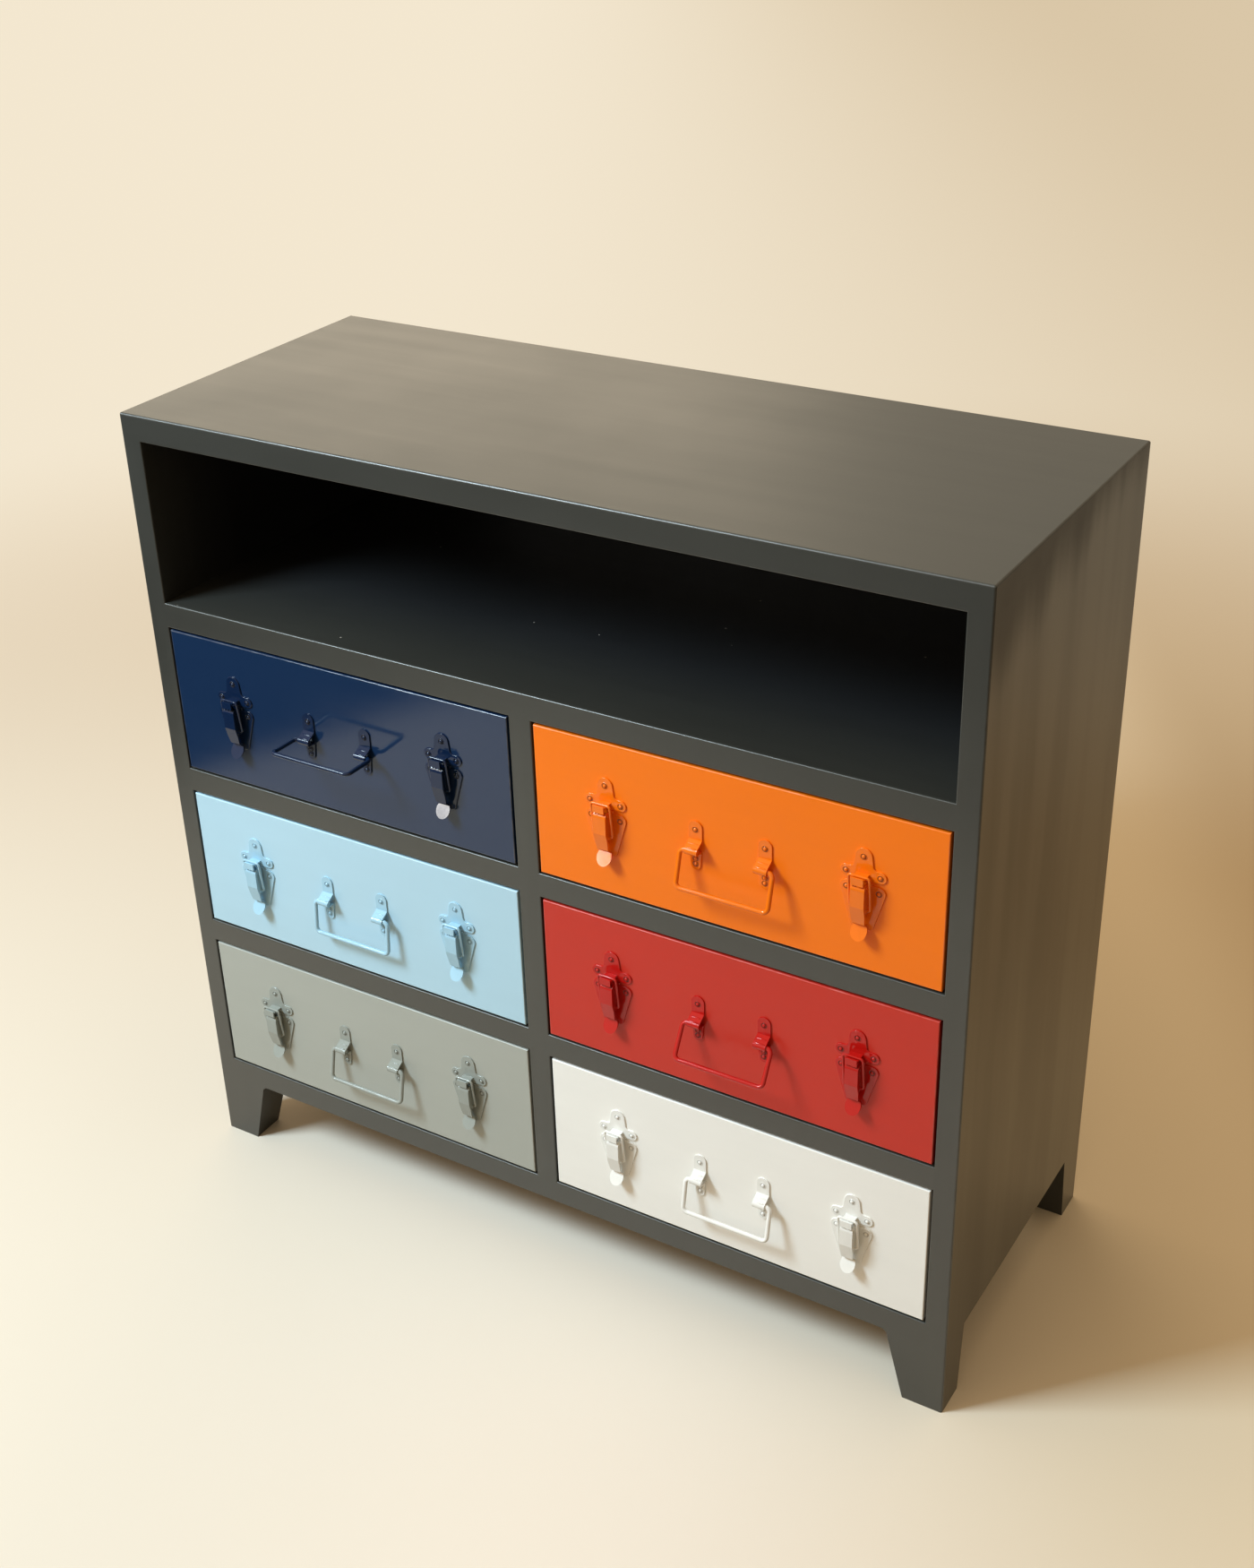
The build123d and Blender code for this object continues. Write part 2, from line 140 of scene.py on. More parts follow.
class ChestStage(bpy.types.PropertyGroup):
    """Floor, light and background."""

    # The floor's left, right and far right creams are darker than its middle: painted shade.
    floor_left_shade: colour_property("Floor, left", "Pale cream of the floor to the left", (0.665, 0.61, 0.52))
    floor_middle: colour_property("Floor, middle", "Pale cream of the floor in front", (0.80, 0.728, 0.624))
    floor_right_shade: colour_property("Floor, right", "Cream of the floor to the right", (0.75, 0.655, 0.495))
    floor_edge_shade: colour_property(
        "Floor, far right", "Deeper cream of the floor at the far right", (0.58, 0.48, 0.34)
    )
    # The sweep is dimmer to the right: painted shade.
    sweep_bright: colour_property("Sweep, left", "Cream of the far background to the left", (0.90, 0.80, 0.63))
    sweep_right_shade: colour_property("Sweep, right", "Cream of the far background to the right", (0.70, 0.57, 0.39))
    ambient: colour_property("Ambient", "Warm light from all around", (0.64, 0.47, 0.29))
    key: colour_property("Key", "Cool white of the key light", (0.68, 0.87, 1.0))
    key_level: level_property("Key level", "Light from the key on a face square to it", 1.36)
    key_size: length_property("Key size", "Width of the square key light", 0.75)
    sheen: colour_property("Sheen", "Warm white of the low light behind the chest", (1.0, 0.84, 0.62))
    sheen_level: level_property("Sheen level", "Brightness of the low light behind the chest", 2.2)
    glint: colour_property("Glint", "White of the strip that the thumb tabs mirror", (1.0, 0.97, 0.92))
    glint_level: level_property("Glint level", "Brightness of the mirrored strip", 24.0)


# Node helpers


def add_node(tree, kind, inputs=None, **settings):
    """Adds a node, and sets or links its inputs by name or number."""
    made = tree.nodes.new(kind)
    for key, value in settings.items():
        setattr(made, key, value)
    for socket, value in (inputs or {}).items():
        if isinstance(value, bpy.types.NodeSocket):
            tree.links.new(value, made.inputs[socket])
        else:
            made.inputs[socket].default_value = value
    return made


def calc(tree, operation, a, b=0.0, clamp=False):
    return add_node(tree, "ShaderNodeMath", {0: a, 1: b}, operation=operation, use_clamp=clamp).outputs[0]


def vector_calc(tree, operation, a, b):
    return add_node(tree, "ShaderNodeVectorMath", {0: a, 1: b}, operation=operation).outputs[0]


def scaled(tree, colour, level):
    made = add_node(tree, "ShaderNodeVectorMath", {0: colour, "Scale": level}, operation="SCALE")
    return made.outputs[0]


def split(tree, vector):
    return add_node(tree, "ShaderNodeSeparateXYZ", {0: vector}).outputs


def blend(tree, factor, a, b):
    return add_node(tree, "ShaderNodeMix", {0: factor, 6: a, 7: b}, data_type="RGBA").outputs[2]


def spread(tree, value, low, high, to_low=0.0, to_high=1.0, smooth=False):
    """Maps a value from low..high to to_low..to_high, held at both ends."""
    made = add_node(tree, "ShaderNodeMapRange", {"Value": value, "From Min": low, "From Max": high})
    made.inputs["To Min"].default_value = to_low
    made.inputs["To Max"].default_value = to_high
    made.interpolation_type = "SMOOTHSTEP" if smooth else "LINEAR"
    return made.outputs["Result"]


def noise(tree, place, scale, detail=2.0, roughness=0.5):
    inputs = {"Vector": place, "Scale": scale, "Detail": detail, "Roughness": roughness}
    return add_node(tree, "ShaderNodeTexNoise", inputs).outputs["Fac"]


def object_place(tree):
    return add_node(tree, "ShaderNodeTexCoord").outputs["Object"]


def box_depths(tree, place, low, high):
    """How deep a place lies in a box that stands square in the frame, along each axis."""
    over_low = vector_calc(tree, "SUBTRACT", place, low)
    under_high = vector_calc(tree, "SUBTRACT", high, place)
    return split(tree, vector_calc(tree, "MINIMUM", over_low, under_high))


def start_group(name, inputs, outputs):
    """An empty node group with named sockets: its tree, its input sockets and its output node."""
    tree = bpy.data.node_groups.new(name, "ShaderNodeTree")
    for label, kind, default in inputs:
        tree.interface.new_socket(label, in_out="INPUT", socket_type=kind).default_value = default
    for label, kind in outputs:
        tree.interface.new_socket(label, in_out="OUTPUT", socket_type=kind)
    return tree, tree.nodes.new("NodeGroupInput").outputs, tree.nodes.new("NodeGroupOutput")


def place_group(tree, name, inputs):
    """Places a shared effect in a material, with its own values, and gives its outputs."""
    group = bpy.data.node_groups.get(name) or GROUPS[name](name)
    return add_node(tree, "ShaderNodeGroup", inputs, node_tree=group).outputs


def clear_tree(owner):
    """The emptied node tree of a material or world."""
    owner.use_nodes = True
    owner.node_tree.nodes.clear()
    return owner.node_tree


def rgba(colour):
    return (colour[0], colour[1], colour[2], 1.0)


COLOUR, VALUE, VECTOR = "NodeSocketColor", "NodeSocketFloat", "NodeSocketVector"
BLACK = (0.0, 0.0, 0.0, 1.0)

# Scales of the shared effects, in turns to a metre, and the shares that they mix
CLOUD_SCALE = 6.0
CLOUD_SHARE = 0.55
DRIFT_RANGE = (0.35, 0.65)
WEAR_HIGHLIGHT_SCALE = 45.0
WEAR_HIGHLIGHT_RANGE = (0.38, 0.62)
GRAIN_DRAWN = (55.0, 2.2, 55.0)
GRAIN_BEND = (6.0, 1.2, 6.0)
GRAIN_PORES = (900.0, 30.0, 900.0)
GRAIN_SCALE = 0.22
GRAIN_DISTORTION = 5.0
GRAIN_SHARE = 0.75
PORE_SHARE = 0.35


def paint_film(name):
    """Brushed or sprayed paint: clouded colour, drawn out strokes and a fine skin."""
    inputs = (
        ("Colour", COLOUR, (0.5, 0.5, 0.5, 1.0)),
        ("Strokes", VECTOR, (20.0, 20.0, 20.0)),
        ("Clouding", VALUE, 0.1),
        ("Skin", VALUE, 600.0),
        ("Gloss side", VALUE, 0.3),
        ("Matt side", VALUE, 0.45),
    )
    outputs = (("Colour", COLOUR), ("Roughness", VALUE), ("Height", VALUE))
    tree, given, result = start_group(name, inputs, outputs)
    place = object_place(tree)
    cloud = noise(tree, place, CLOUD_SCALE, 4.0, 0.55)
    stroke = noise(tree, vector_calc(tree, "MULTIPLY", place, given["Strokes"]), 1.0, 5.0, 0.6)
    skin = noise(tree, place, given["Skin"], 2.0)
    clouds = calc(tree, "MULTIPLY", cloud, CLOUD_SHARE)
    drift = calc(tree, "ADD", clouds, calc(tree, "MULTIPLY", stroke, 1.0 - CLOUD_SHARE))
    level = calc(tree, "MULTIPLY_ADD", calc(tree, "SUBTRACT", drift, 0.5), given["Clouding"])
    level.node.inputs[2].default_value = 1.0
    tree.links.new(scaled(tree, given["Colour"], level), result.inputs["Colour"])
    low, high = DRIFT_RANGE
    rough = add_node(tree, "ShaderNodeMapRange", {"Value": drift, "From Min": low, "From Max": high})
    tree.links.new(given["Gloss side"], rough.inputs["To Min"])
    tree.links.new(given["Matt side"], rough.inputs["To Max"])
    tree.links.new(rough.outputs["Result"], result.inputs["Roughness"])
    height = calc(tree, "ADD", calc(tree, "MULTIPLY", skin, 0.5), calc(tree, "MULTIPLY", stroke, 0.5))
    tree.links.new(height, result.inputs["Height"])
    return tree


def edge_wear(name):
    """Paint rubbed thin along the edges of a box that stands square in the frame, lightened also as a painted
    highlight of the rounded edges.
    """
    inputs = (
        ("Colour", COLOUR, (0.5, 0.5, 0.5, 1.0)),
        ("Worn", COLOUR, (0.8, 0.8, 0.8, 1.0)),
        ("Low corner", VECTOR, (0.0, 0.0, 0.0)),
        ("High corner", VECTOR, (1.0, 1.0, 1.0)),
        ("Width", VALUE, 0.004),
        ("Amount", VALUE, 0.3),
    )
    tree, given, result = start_group(name, inputs, (("Colour", COLOUR),))
    place = object_place(tree)
    near = box_depths(tree, place, given["Low corner"], given["High corner"])
    lesser = calc(tree, "MINIMUM", near["X"], near["Y"])
    greater = calc(tree, "MAXIMUM", near["X"], near["Y"])
    middle = calc(tree, "MAXIMUM", lesser, calc(tree, "MINIMUM", greater, near["Z"]))
    edge = spread(tree, calc(tree, "DIVIDE", middle, given["Width"]), 0.0, 1.0, 1.0, 0.0, smooth=True)
    broken = spread(tree, noise(tree, place, WEAR_HIGHLIGHT_SCALE, 4.0, 0.6), *WEAR_HIGHLIGHT_RANGE)
    mask = calc(tree, "MULTIPLY", calc(tree, "MULTIPLY", edge, broken), given["Amount"])
    tree.links.new(blend(tree, mask, given["Colour"], given["Worn"]), result.inputs["Colour"])
    return tree


def inside_box(name):
    """One colour inside a box that stands square in the frame and another outside it."""
    inputs = (
        ("Outside", COLOUR, (0.5, 0.5, 0.5, 1.0)),
        ("Inside", COLOUR, (0.1, 0.1, 0.1, 1.0)),
        ("Low corner", VECTOR, (0.0, 0.0, 0.0)),
        ("High corner", VECTOR, (1.0, 1.0, 1.0)),
        ("Blend", VALUE, 0.002),
    )
    tree, given, result = start_group(name, inputs, (("Colour", COLOUR), ("Mask", VALUE)))
    near = box_depths(tree, object_place(tree), given["Low corner"], given["High corner"])
    least = calc(tree, "MINIMUM", near["X"], calc(tree, "MINIMUM", near["Y"], near["Z"]))
    mask = spread(tree, calc(tree, "DIVIDE", least, given["Blend"]), 0.0, 1.0, smooth=True)
    tree.links.new(blend(tree, mask, given["Outside"], given["Inside"]), result.inputs["Colour"])
    tree.links.new(mask, result.inputs["Mask"])
    return tree


def dust(name):
    """Small pale specks scattered over a level face."""
    inputs = (("Density", VALUE, 40.0), ("Share", VALUE, 0.3), ("Size", VALUE, 0.03))
    tree, given, result = start_group(name, inputs, (("Mask", VALUE),))
    cells = add_node(tree, "ShaderNodeTexVoronoi", {"Vector": object_place(tree), "Scale": given["Density"]})
    chance = add_node(tree, "ShaderNodeSeparateColor", {0: cells.outputs["Color"]}).outputs[0]
    kept = calc(tree, "LESS_THAN", chance, given["Share"])
    speck = calc(tree, "LESS_THAN", cells.outputs["Distance"], given["Size"])
    tree.links.new(calc(tree, "MULTIPLY", kept, speck), result.inputs["Mask"])
    return tree


def plank_grain(name):
    """Sawn softwood: growth lines along the board, with pores."""
    inputs = (
        ("Pale", COLOUR, (0.6, 0.4, 0.25, 1.0)),
        ("Dark", COLOUR, (0.4, 0.25, 0.12, 1.0)),
        ("Place", VECTOR, (0.0, 0.0, 0.0)),
    )
    tree, given, result = start_group(name, inputs, (("Colour", COLOUR), ("Height", VALUE)))
    drawn = vector_calc(tree, "MULTIPLY", given["Place"], GRAIN_DRAWN)
    bend = noise(tree, vector_calc(tree, "MULTIPLY", given["Place"], GRAIN_BEND), 1.0, 2.0)
    waves = {"Vector": drawn, "Scale": GRAIN_SCALE, "Distortion": GRAIN_DISTORTION, "Detail": 2.0}
    line = add_node(tree, "ShaderNodeTexWave", waves, bands_direction="DIAGONAL")
    pores = noise(tree, vector_calc(tree, "MULTIPLY", given["Place"], GRAIN_PORES), 1.0, 3.0, 0.7)
    mask = calc(tree, "MULTIPLY", line.outputs["Fac"], spread(tree, bend, 0.3, 0.7, 0.35, 0.9))
    fine = spread(tree, pores, 0.4, 0.75, 0.0, PORE_SHARE)
    grain = calc(tree, "ADD", calc(tree, "MULTIPLY", mask, GRAIN_SHARE), fine, clamp=True)
    tree.links.new(blend(tree, grain, given["Pale"], given["Dark"]), result.inputs["Colour"])
    tree.links.new(calc(tree, "SUBTRACT", 1.0, grain), result.inputs["Height"])
    return tree


GROUPS = {
    "paint_film": paint_film,
    "edge_wear": edge_wear,
    "inside_box": inside_box,
    "dust": dust,
    "plank_grain": plank_grain,
}


# Finishes


def new_material(name):
    material = bpy.data.materials.new(name)
    tree = clear_tree(material)
    shader = tree.nodes.new("ShaderNodeBsdfPrincipled")
    output = tree.nodes.new("ShaderNodeOutputMaterial")
    tree.links.new(shader.outputs["BSDF"], output.inputs["Surface"])
    return material, tree, shader


def set_bump(tree, shader, height, strength, distance):
    bump = add_node(tree, "ShaderNodeBump", {"Height": height, "Strength": strength, "Distance": distance})
    tree.links.new(bump.outputs["Normal"], shader.inputs["Normal"])


def add_film(tree, colour, strokes, clouding, skin, gloss, matt):
    """Places the paint film: its colour, how its strokes are drawn out, how cloudy, fine and glossy it is."""
    inputs = {"Colour": colour, "Strokes": strokes, "Clouding": clouding}
    inputs |= {"Skin": skin, "Gloss side": gloss, "Matt side": matt}
    return place_group(tree, "paint_film", inputs)


def add_wear_and_highlight(tree, colour, worn, box, width, amount):
    """Places the wear and the painted edge highlight along a box's edges, and gives the colour with it."""
    inputs = {"Colour": colour, "Worn": worn, "Low corner": box[0], "High corner": box[1]}
    inputs |= {"Width": width, "Amount": amount}
    return place_group(tree, "edge_wear", inputs)["Colour"]


# How far the compartment's dark paint and painted shade start behind the front, and how far its box reaches
# into the walls
FRONT_LIP = 1.4 * MM
WALL_REACH = 4.0 * MM


def carcass_box():
    """The carcass with its feet, as a box."""
    low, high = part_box("left_side")
    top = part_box("top_panel")[1]
    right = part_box("right_side")[1]
    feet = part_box("feet")[0]
    return Vector((low.x, low.y, feet.z)), Vector((right.x, right.y, top.z))


def compartment_box():
    """The open compartment, from just behind its front edge and into its walls."""
    left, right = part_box("left_side"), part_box("right_side")
    back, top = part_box("back_panel")[1].y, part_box("top_panel")[0].z
    low = Vector((left[1].x - WALL_REACH, left[0].y + FRONT_LIP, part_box(SHELF)[1].z - WALL_REACH))
    high = Vector((right[0].x + WALL_REACH, back - WALL_REACH, top + WALL_REACH))
    return low, high


LEVEL_STROKES = (3.0, 46.0, 46.0)
LEVEL_CLOUDING = 0.35
UPRIGHT_STROKES = (46.0, 46.0, 3.0)
UPRIGHT_CLOUDING = 1.1
CARCASS_SKIN = 420.0
CARCASS_GLOSS = (0.36, 0.42)
CARCASS_SPECULAR = 0.45
CARCASS_BUMP = (0.10, 0.4 * MM)
CARCASS_WEAR_HIGHLIGHT_WIDTH = 3.5 * MM
# The compartment's own darker paint at its front, as a share of the carcass's, and how far in its painted
# shade is darkest
LINING_SHARE = 0.70
LINING_SHADE_DEPTH = 140.0 * MM
# The outer faces of the sides are wiped in long upright streaks.
FACE_SKIN = 0.4 * MM
SIDE_STREAKS = (14.0, 14.0, 1.2)
STREAK_RANGE = (0.36, 0.64)
STREAK_LEVELS = (0.82, 1.55)
# A dark dull smear in their upper front corners: how fast it fades downwards and backwards, and its strength
SMEAR_DOWN = 1.3
SMEAR_BACK = 0.3
SMEAR_RAGGED = 0.16
SMEAR_FADE = (0.06, 0.15)
SMEAR_SHARE = 0.75
# The sides and the front edges carry a thin clear coat, and the paint of the front edges is darkened as
# painted shade.
FRONT_PAINTED_SHADE = 0.16
FRONT_COAT = 0.62
SIDE_COAT = (0.432, 0.54)
COAT_ROUGHNESS = 0.28
DUST_SPECKS = {"Density": 42.0, "Share": 0.16, "Size": 0.045}
DUST_SHARE = 0.7
DUST_COLOUR = (0.5, 0.45, 0.38, 1.0)


def carcass_material(name, strokes, clouding, dusty=False):
    """Charcoal paint, near black in the open compartment with painted shade deepening further in, rubbed along
    the edges with a painted highlight, streaked on the sides, and darkened on its front faces as painted
    shade.
    """
    paints = bpy.context.scene.chest_paints
    material, tree, shader = new_material(name)
    low, high = carcass_box()
    inner_low, inner_high = compartment_box()
    place = object_place(tree)
    parts = split(tree, place)
    # Painted shade: the compartment's own darker paint darkens further in, to the lining colour.
    shaded = spread(tree, parts["Y"], inner_low.y, inner_low.y + LINING_SHADE_DEPTH, smooth=True)
    lining_and_shade = blend(tree, shaded, rgba(LINING_SHARE * paints.carcass), rgba(paints.lining_and_shade))
    inside = {"Outside": rgba(paints.carcass), "Inside": lining_and_shade}
    inside |= {"Low corner": inner_low, "High corner": inner_high}
    lined = place_group(tree, "inside_box", inside)
    film = add_film(tree, lined["Colour"], strokes, clouding, CARCASS_SKIN, *CARCASS_GLOSS)
    worn = rgba(paints.worn)
    # Edge wear, lightened also as a painted highlight of the rounded edges.
    colour = add_wear_and_highlight(tree, film["Colour"], worn, (low, high), CARCASS_WEAR_HIGHLIGHT_WIDTH, paints.wear)
    outer = calc(tree, "GREATER_THAN", calc(tree, "ABSOLUTE", parts["X"]), high.x - FACE_SKIN)
    drawn = noise(tree, vector_calc(tree, "MULTIPLY", place, SIDE_STREAKS), 1.0, 3.0, 0.55)
    wiped = scaled(tree, colour, spread(tree, drawn, *STREAK_RANGE, *STREAK_LEVELS, smooth=True))
    down = calc(tree, "MULTIPLY", calc(tree, "SUBTRACT", high.z, parts["Z"]), SMEAR_DOWN)
    back = calc(tree, "MULTIPLY", calc(tree, "SUBTRACT", parts["Y"], low.y), SMEAR_BACK)
    ragged = calc(tree, "MULTIPLY", calc(tree, "SUBTRACT", drawn, 0.5), SMEAR_RAGGED)
    reach = calc(tree, "ADD", calc(tree, "ADD", down, back), ragged)
    clear = spread(tree, reach, *SMEAR_FADE, smooth=True)
    smear = spread(tree, clear, 0.0, 1.0, SMEAR_SHARE, 0.0)
    wiped = blend(tree, smear, wiped, BLACK)
    colour = blend(tree, outer, colour, wiped)
    fronted = calc(tree, "LESS_THAN", parts["Y"], low.y + FACE_SKIN)
    # Painted shade: the carcass's front faces are darkened.
    colour = blend(tree, calc(tree, "MULTIPLY", fronted, FRONT_PAINTED_SHADE), colour, BLACK)
    if dusty:
        specks = place_group(tree, "dust", DUST_SPECKS)
        shown = calc(tree, "MULTIPLY", specks["Mask"], lined["Mask"])
        colour = blend(tree, calc(tree, "MULTIPLY", shown, DUST_SHARE), colour, DUST_COLOUR)
    tree.links.new(colour, shader.inputs["Base Color"])
    tree.links.new(film["Roughness"], shader.inputs["Roughness"])
    shader.inputs["Specular IOR Level"].default_value = CARCASS_SPECULAR
    gleam = spread(tree, drawn, *STREAK_RANGE, *SIDE_COAT, smooth=True)
    side_coat = calc(tree, "MULTIPLY", calc(tree, "MULTIPLY", outer, clear), gleam)
    coat = calc(tree, "MAXIMUM", calc(tree, "MULTIPLY", fronted, FRONT_COAT), side_coat)
    tree.links.new(coat, shader.inputs["Coat Weight"])
    shader.inputs["Coat Roughness"].default_value = COAT_ROUGHNESS
    set_bump(tree, shader, film["Height"], *CARCASS_BUMP)
    return material


FRONT_STROKES = (5.0, 30.0, 40.0)
FRONT_CLOUDING = 0.14
FRONT_SKIN = 520.0
FRONT_BUMP = (0.03, 0.3 * MM)
FRONT_WEAR_HIGHLIGHT_WIDTH = 1.6 * MM
FRONT_WEAR_HIGHLIGHT_SHARE = 0.6
# For each drawer front: roughness of its glossier and duller patches, and specular level
GLOSS = {
    "navy": (0.08, 0.14, 0.50),
    "light_blue": (0.30, 0.34, 0.45),
    "grey": (0.29, 0.33, 0.45),
    "orange": (0.30, 0.34, 0.30),
    "red": (0.28, 0.32, 0.35),
    "white": (0.33, 0.37, 0.45),
}


def front_material(drawer):
    """Gloss paint of a drawer front, a little rubbed round its edge, the rubbed edge lightened also as a
    painted highlight.
    """
    paints = bpy.context.scene.chest_paints
    material, tree, shader = new_material(f"{drawer}_front_paint")
    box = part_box(f"{drawer}_front")
    paint = getattr(paints, drawer)
    gloss, matt, specular = GLOSS[drawer]
    film = add_film(tree, rgba(paint), FRONT_STROKES, FRONT_CLOUDING, FRONT_SKIN, gloss, matt)
    # Edge wear towards white, lightened also as a painted highlight of the rounded edge.
    worn = rgba([0.5 * share + 0.5 * pale for share, pale in zip(paint, paints.white)])
    amount = FRONT_WEAR_HIGHLIGHT_SHARE * paints.wear
    colour = add_wear_and_highlight(tree, film["Colour"], worn, box, FRONT_WEAR_HIGHLIGHT_WIDTH, amount)
    tree.links.new(colour, shader.inputs["Base Color"])
    tree.links.new(film["Roughness"], shader.inputs["Roughness"])
    shader.inputs["Specular IOR Level"].default_value = specular
    set_bump(tree, shader, film["Height"], *FRONT_BUMP)
    return material


METAL_STROKES = (120.0, 120.0, 60.0)
METAL_CLOUDING = 0.30
METAL_SKIN = 900.0
METAL_GLOSS = (0.08, 0.18)
METAL_SPECULAR = 0.38
METAL_BUMP = (0.12, 0.15 * MM)
# For each drawer: how much of its colour the steel keeps, and how much of that is left in a rivet's groove as
# painted shade
METAL_TONES = {
    "navy": ((0.55, 0.60, 0.70), 0.20),
    "light_blue": ((0.82, 0.89, 0.92), 0.55),
    "grey": ((0.80, 0.83, 0.84), 0.50),
    "orange": ((0.93, 0.92, 0.80), 0.35),
    "red": ((0.88, 0.28, 0.35), 0.28),
    "white": ((0.93, 0.935, 0.935), 0.66),
}


def metal_material(drawer, riveted=False):
    """The drawer's paint on its steel fittings, thick and glossy, with painted shade in the pressed rings of
    the rivets.
    """
    paints = bpy.context.scene.chest_paints
    material, tree, shader = new_material(f"{drawer}_rivet_paint" if riveted else f"{drawer}_metal_paint")
    tones, groove_shade_share = METAL_TONES[drawer]
    colour = [tone * share for tone, share in zip(tones, getattr(paints, drawer))]
    film = add_film(tree, rgba(colour), METAL_STROKES, METAL_CLOUDING, METAL_SKIN, *METAL_GLOSS)
    shade = film["Colour"]
    if riveted:
        # Painted shade: the groove round each rivet is darkened, read from its groove attribute.
        ring = add_node(tree, "ShaderNodeAttribute", None, attribute_name="recess").outputs["Fac"]
        deep = [groove_shade_share * share for share in colour]
        shade = blend(tree, ring, shade, rgba(deep))
    tree.links.new(shade, shader.inputs["Base Color"])
    tree.links.new(film["Roughness"], shader.inputs["Roughness"])
    shader.inputs["Specular IOR Level"].default_value = METAL_SPECULAR
    set_bump(tree, shader, film["Height"], *METAL_BUMP)
    return material


# Boards within this reach of a drawer box's back end run across it.
BOX_BACK_REACH = 12.2 * MM
WOOD_ROUGHNESS = 0.62
WOOD_BUMP = (0.25, 0.3 * MM)


def box_material():
    """Bare wood of the drawer boxes, with the grain along each board."""
    paints = bpy.context.scene.chest_paints
    material, tree, shader = new_material("drawer_box_wood")
    place = object_place(tree)
    parts = split(tree, place)
    swapped = {"X": parts["Y"], "Y": parts["X"], "Z": parts["Z"]}
    crossed = add_node(tree, "ShaderNodeCombineXYZ", swapped).outputs[0]
    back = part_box("navy_box")[1].y
    at_back = calc(tree, "GREATER_THAN", parts["Y"], back - BOX_BACK_REACH)
    along = add_node(tree, "ShaderNodeMix", {0: at_back, 4: place, 5: crossed}, data_type="VECTOR").outputs[1]
    inputs = {"Pale": rgba(paints.wood), "Dark": rgba(paints.wood_dark), "Place": along}
    grain = place_group(tree, "plank_grain", inputs)
    tree.links.new(grain["Colour"], shader.inputs["Base Color"])
    shader.inputs["Roughness"].default_value = WOOD_ROUGHNESS
    set_bump(tree, shader, grain["Height"], *WOOD_BUMP)
    return material


NAIL_SIDES = 14
NAIL_STROKES = (300.0, 300.0, 300.0)
NAIL_CLOUDING = 0.8
NAIL_SKIN = 900.0
NAIL_GLOSS = (0.25, 0.40)
NAIL_BUMP = (0.2, 0.1 * MM)
NAIL_RUB_SCALE = 260.0
NAIL_RUB_RANGE = (0.52, 0.66)
NAIL_STEEL = (0.32, 0.31, 0.29, 1.0)
NAIL_METAL_SHARE = 0.9


def nail_material():
    """Steel nail heads under the carcass's paint, rubbed bright in places."""
    paints = bpy.context.scene.chest_paints
    material, tree, shader = new_material("nail_paint")
    film = add_film(tree, rgba(paints.carcass), NAIL_STROKES, NAIL_CLOUDING, NAIL_SKIN, *NAIL_GLOSS)
    rubbed = spread(tree, noise(tree, object_place(tree), NAIL_RUB_SCALE, 3.0), *NAIL_RUB_RANGE)
    tree.links.new(blend(tree, rubbed, film["Colour"], NAIL_STEEL), shader.inputs["Base Color"])
    tree.links.new(calc(tree, "MULTIPLY", rubbed, NAIL_METAL_SHARE), shader.inputs["Metallic"])
    tree.links.new(film["Roughness"], shader.inputs["Roughness"])
    set_bump(tree, shader, film["Height"], *NAIL_BUMP)
    return material


def paint_node(node, material):
    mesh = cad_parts[node].data
    mesh.materials.clear()
    mesh.materials.append(material)


# Pieces


WELD = 0.002 * MM


def finish_piece(name, bm, material, body):
    """Turns a bmesh in the frame's own place into a piece that rides on a body."""
    bmesh.ops.remove_doubles(bm, verts=bm.verts, dist=WELD)
    bmesh.ops.recalc_face_normals(bm, faces=bm.faces)
    mesh = bpy.data.meshes.new(name)
    bm.to_mesh(mesh)
    bm.free()
    for face in mesh.polygons:
        face.use_smooth = True
    mesh.materials.append(material)
    piece = bpy.data.objects.new(name, mesh)
    bpy.context.scene.collection.objects.link(piece)
    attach(piece, body)


def turned_head(bm, layer, profile, sides, place, facing):
    """Spins a profile of (radius, height, painted groove shade) points into a head that stands on a face."""
    turn = Vector((0.0, 0.0, 1.0)).rotation_difference(Vector(facing)).to_matrix().to_4x4()
    made = []
    for radius, height, recess in profile:
        point = bm.verts.new((radius, 0.0, height))
        point[layer] = recess
        made.append(point)
    edges = [bm.edges.new(pair) for pair in zip(made, made[1:])]
    spun = bmesh.ops.spin(
        bm,
        geom=made + edges,
        cent=(0.0, 0.0, 0.0),
        axis=(0.0, 0.0, 1.0),
        angle=2.0 * pi,
        steps=sides,
        use_merge=True,
    )
    head = set(made)
    for item in spun["geom_last"]:
        if isinstance(item, bmesh.types.BMVert):
            head.add(item)
    walk = list(head)
    while walk:
        point = walk.pop()
        for edge in point.link_edges:
            other = edge.other_vert(point)
            if other not in head:
                head.add(other)
                walk.append(other)
    matrix = Matrix.Translation(place) @ turn
    bmesh.ops.transform(bm, matrix=matrix, verts=list(head))


# Shares of a rivet's height: the floor of its groove and the top of its pressed ring
GROOVE_RISE = 0.06
RING_RISE = 0.24
# Shares of the width from its rim in to its dome: both edges of the ring's top, and the groove's outer edge
RING_TOP = (0.12, 0.24)
GROOVE_START = 0.4
DOME_ANGLES = (15.0, 40.0, 65.0)
# Shares that shape the rounded end of a rib, and the flat and the wall of a nail's head
RIB_ROUND = 0.7
NAIL_FLAT = 0.8
NAIL_WALL = 0.5


